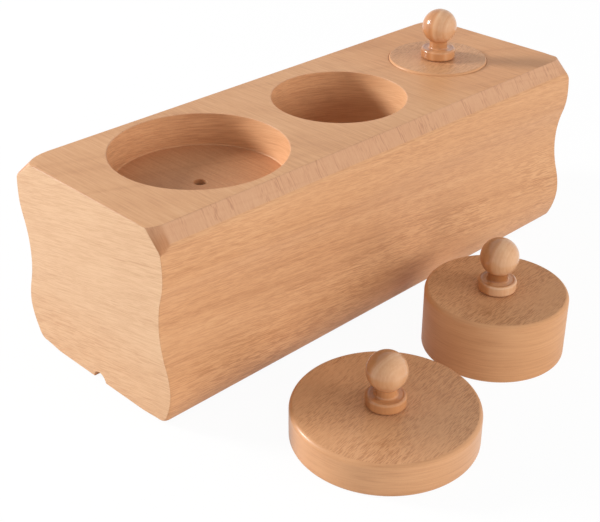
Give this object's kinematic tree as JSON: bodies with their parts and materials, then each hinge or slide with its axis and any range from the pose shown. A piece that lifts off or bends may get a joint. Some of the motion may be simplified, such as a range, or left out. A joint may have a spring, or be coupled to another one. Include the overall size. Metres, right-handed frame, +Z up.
{
  "type": "knobbed cylinder block",
  "caption": "Moulded beech block with stepped round sockets, and turned wooden cylinders of matching width and depth that lift out by ball knobs.",
  "frame": {"origin": "on the ground, in the middle of the box round the block and the two cylinders that stand in front of it", "axes": "+X along the block, from the large socket to the small one; +Y from the free cylinders to the block; +Z up, the way the cylinders lift"},
  "size_m": [0.372, 0.2806, 0.163],
  "materials": {
    "block_beech": "clear satin lacquer on sanded beech",
    "cylinder_beech": "clear satin lacquer on turned beech",
    "knob_beech": "clear semi-gloss lacquer on turned beech"
  },
  "bodies": {
    "block": {"block_upper_board": "block_beech", "block_lower_board": "block_beech"},
    "large_cylinder_body": {"large_cylinder": "cylinder_beech", "large_cylinder_knob": "knob_beech"},
    "medium_cylinder_body": {"medium_cylinder": "cylinder_beech", "medium_cylinder_knob": "knob_beech"},
    "small_cylinder_body": {"small_cylinder": "cylinder_beech", "small_cylinder_knob": "knob_beech"}
  },
  "joints": [
    {"name": "large_cylinder_lift", "type": "slide", "parent": "block", "child": "large_cylinder_body", "axis": [0, 0, 1], "range_m": [0, 0.15]},
    {"name": "medium_cylinder_lift", "type": "slide", "parent": "block", "child": "medium_cylinder_body", "axis": [0, 0, 1], "range_m": [0, 0.15]},
    {"name": "small_cylinder_lift", "type": "slide", "parent": "block", "child": "small_cylinder_body", "axis": [0, 0, 1], "range_m": [0, 0.075]}
  ]
}
